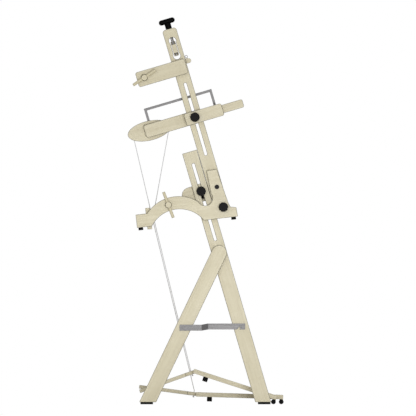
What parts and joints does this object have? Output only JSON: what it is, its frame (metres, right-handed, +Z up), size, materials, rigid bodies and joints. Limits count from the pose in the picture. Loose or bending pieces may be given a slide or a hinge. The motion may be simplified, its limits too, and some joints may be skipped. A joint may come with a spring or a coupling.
{
  "type": "tapestry loom",
  "caption": "Leaning tapestry loom on a folding A-frame stand, with warp and cloth beams, a rocker-driven shed bar and two hinged foot treadles tied to the rocker by cords.",
  "frame": {"origin": "on the floor, midway between the two sides of the stand and midway between its front and back", "axes": "+Z up, +X towards the weaver, -Y towards the weaver's left side"},
  "size_m": [0.5207, 0.661, 1.2935],
  "materials": {
    "wood": "pale maple with a satin oil finish",
    "turned_wood": "pale maple, turned and oiled",
    "steel": "zinc-plated and brushed",
    "black_plastic": "moulded, fine grain",
    "black_metal": "steel, painted black",
    "rubber": "matt",
    "cord": "braided polyester"
  },
  "bodies": {
    "stand": {"left_post": "wood", "right_post": "wood", "post_stretcher": "wood", "post_pads": "rubber", "stand_bolts": "steel"},
    "legs": {"left_leg": "wood", "right_leg": "wood", "leg_stretcher": "wood", "leg_pads": "rubber", "leg_screws": "steel", "treadle_rod": "steel"},
    "brace_pair": {"braces": "steel"},
    "loom": {"left_upright": "wood", "right_upright": "wood", "left_base": "wood", "right_base": "wood", "rear_stretcher": "wood", "bottom_bar": "wood", "left_mount_bracket": "wood", "right_mount_bracket": "wood", "base_bumpers": "rubber", "loom_fasteners": "steel", "coil_bar": "wood", "warp_coil": "steel", "left_beam_arm": "wood", "right_beam_arm": "wood", "treadle_cords": "cord"},
    "left_tension": {"left_tension_knob": "black_metal"},
    "right_tension": {"right_tension_knob": "black_metal"},
    "tension_beam": {"top_beam": "wood"},
    "warp_roller": {"warp_beam": "turned_wood", "warp_ratchet": "steel"},
    "warp_catch": {"warp_pawl": "steel"},
    "cloth_roller": {"cloth_beam": "turned_wood", "cloth_ratchet": "steel"},
    "cloth_catch": {"cloth_pawl": "steel"},
    "carriage": {"left_shed_arm": "wood", "right_shed_arm": "wood", "rocker_arm": "wood", "carriage_fasteners": "steel"},
    "shed_rocker": {"rocker": "wood", "rocker_crank": "steel"},
    "shed_link": {"link": "steel"},
    "shed_roller": {"shed_shaft": "steel", "shed_bar": "wood", "shed_lever": "wood"},
    "left_treadle": {"left_treadle_lever": "wood"},
    "right_treadle": {"right_treadle_lever": "wood"},
    "left_foot_board": {"left_pedal": "wood", "left_pedal_bumper": "rubber"},
    "right_foot_board": {"right_pedal": "wood", "right_pedal_bumper": "rubber"},
    "left_foot_roller": {"left_roller": "rubber"},
    "right_foot_roller": {"right_roller": "rubber"},
    "left_shed_clamp": {"left_shed_knob": "black_plastic"},
    "left_mount_clamp": {"left_mount_knob": "black_plastic"},
    "left_base_clamp": {"left_base_knob": "black_plastic"},
    "right_shed_clamp": {"right_shed_knob": "black_plastic"},
    "right_mount_clamp": {"right_mount_knob": "black_plastic"},
    "right_base_clamp": {"right_base_knob": "black_plastic"}
  },
  "joints": [
    {"name": "leg_fold", "type": "hinge", "parent": "stand", "child": "legs", "pos_m": [0.04615, 0, 0.5063], "axis": [0, -1, 0], "range_deg": [0, 28], "deforming": ["treadle_cords"]},
    {"name": "brace_swing", "type": "hinge", "parent": "legs", "child": "brace_pair", "pos_m": [-0.07377, 0, 0.256], "axis": [0, -1, 0], "range_deg": [0, 28]},
    {"name": "loom_height", "type": "slide", "parent": "stand", "child": "loom", "axis": [-0.2823, 0, 0.9593], "range_m": [-0.085, 0.065], "deforming": ["treadle_cords"]},
    {"name": "shed_height", "type": "slide", "parent": "loom", "child": "carriage", "axis": [-0.2823, 0, 0.9593], "range_m": [-0.126, 0.067], "deforming": ["treadle_cords"]},
    {"name": "left_tension_turn", "type": "hinge", "parent": "loom", "child": "left_tension", "pos_m": [-0.11554, -0.2825, 1.23279], "axis": [0.2823, 0, -0.9593], "range_deg": [-3600, 3600]},
    {"name": "right_tension_turn", "type": "hinge", "parent": "loom", "child": "right_tension", "pos_m": [-0.11554, 0.2825, 1.23279], "axis": [0.2823, 0, -0.9593], "range_deg": [-3600, 3600]},
    {"name": "top_beam_lift", "type": "slide", "parent": "loom", "child": "tension_beam", "axis": [-0.2823, 0, 0.9593], "range_m": [-0.0159, 0.0159]},
    {"name": "warp_beam_turn", "type": "hinge", "parent": "loom", "child": "warp_roller", "pos_m": [-0.20434, 0, 1.09178], "axis": [0, 1, 0], "continuous": true},
    {"name": "cloth_beam_turn", "type": "hinge", "parent": "loom", "child": "cloth_roller", "pos_m": [-0.12381, 0, 0.66635], "axis": [0, 1, 0], "continuous": true},
    {"name": "warp_pawl_lift", "type": "hinge", "parent": "loom", "child": "warp_catch", "pos_m": [-0.18144, -0.2825, 1.11666], "axis": [0, 1, 0], "range_deg": [0, 25]},
    {"name": "cloth_pawl_lift", "type": "hinge", "parent": "loom", "child": "cloth_catch", "pos_m": [-0.09697, -0.2825, 0.68692], "axis": [0, 1, 0], "range_deg": [0, 25]},
    {"name": "left_treadle_press", "type": "hinge", "parent": "legs", "child": "left_treadle", "pos_m": [-0.1887, -0.062, 0.0545], "axis": [0, 1, 0], "range_deg": [0, 27.2], "deforming": ["treadle_cords"]},
    {"name": "right_treadle_press", "type": "hinge", "parent": "legs", "child": "right_treadle", "pos_m": [-0.1887, 0.062, 0.0545], "axis": [0, 1, 0], "range_deg": [-27.2, 0], "deforming": ["treadle_cords"]},
    {"name": "left_pedal_bend", "type": "hinge", "parent": "left_treadle", "child": "left_foot_board", "pos_m": [-0.0343, -0.062, 0.10978], "axis": [0, 1, 0], "range_deg": [-43.34, 0]},
    {"name": "right_pedal_bend", "type": "hinge", "parent": "right_treadle", "child": "right_foot_board", "pos_m": [-0.0261, 0.062, 0.03309], "axis": [0, 1, 0], "range_deg": [0, 43.34]},
    {"name": "left_roller_spin", "type": "hinge", "parent": "left_foot_board", "child": "left_foot_roller", "pos_m": [0.22711, -0.062, 0.0082], "axis": [0, 1, 0], "continuous": true},
    {"name": "right_roller_spin", "type": "hinge", "parent": "right_foot_board", "child": "right_foot_roller", "pos_m": [0.25325, 0.062, 0.0082], "axis": [0, 1, 0], "continuous": true},
    {"name": "rocker_turn", "type": "hinge", "parent": "carriage", "child": "shed_rocker", "pos_m": [-0.18089, -0.245, 0.91647], "axis": [0, 1, 0], "range_deg": [0, 70], "deforming": ["treadle_cords"]},
    {"name": "link_swing", "type": "hinge", "parent": "shed_rocker", "child": "shed_link", "pos_m": [-0.20094, -0.235, 0.98458], "axis": [0, 1, 0], "range_deg": [-70, 0]},
    {"name": "shed_bar_turn", "type": "hinge", "parent": "carriage", "child": "shed_roller", "pos_m": [0.03687, 0, 0.98056], "axis": [0, 1, 0], "range_deg": [0, 70]},
    {"name": "left_shed_knob_turn", "type": "hinge", "parent": "carriage", "child": "left_shed_clamp", "pos_m": [-0.03508, -0.321, 0.95938], "axis": [0, 1, 0], "range_deg": [0, 720]},
    {"name": "left_mount_knob_turn", "type": "hinge", "parent": "loom", "child": "left_mount_clamp", "pos_m": [-0.01435, -0.321, 0.71187], "axis": [0, 1, 0], "range_deg": [0, 720]},
    {"name": "left_base_knob_turn", "type": "hinge", "parent": "loom", "child": "left_base_clamp", "pos_m": [0.06, -0.321, 0.65901], "axis": [0, 1, 0], "range_deg": [0, 720]},
    {"name": "right_shed_knob_turn", "type": "hinge", "parent": "carriage", "child": "right_shed_clamp", "pos_m": [-0.03508, 0.321, 0.95938], "axis": [0, -1, 0], "range_deg": [0, 720]},
    {"name": "right_mount_knob_turn", "type": "hinge", "parent": "loom", "child": "right_mount_clamp", "pos_m": [-0.01435, 0.321, 0.71187], "axis": [0, -1, 0], "range_deg": [0, 720]},
    {"name": "right_base_knob_turn", "type": "hinge", "parent": "loom", "child": "right_base_clamp", "pos_m": [0.06, 0.321, 0.65901], "axis": [0, -1, 0], "range_deg": [0, 720]}
  ],
  "couplings": [
    {"joint": "brace_swing", "follows": "leg_fold", "ratio": 1},
    {"joint": "right_tension_turn", "follows": "left_tension_turn", "ratio": 1},
    {"joint": "top_beam_lift", "follows": "left_tension_turn", "m_per_rad": 0.00025266},
    {"joint": "right_treadle_press", "follows": "left_treadle_press", "ratio": -1},
    {"joint": "left_pedal_bend", "follows": "left_treadle_press", "ratio": -1.5935},
    {"joint": "right_pedal_bend", "follows": "left_treadle_press", "ratio": 1.5935},
    {"joint": "rocker_turn", "follows": "left_treadle_press", "ratio": 2.5735},
    {"joint": "link_swing", "follows": "left_treadle_press", "ratio": -2.5735},
    {"joint": "shed_bar_turn", "follows": "left_treadle_press", "ratio": 2.5735}
  ]
}
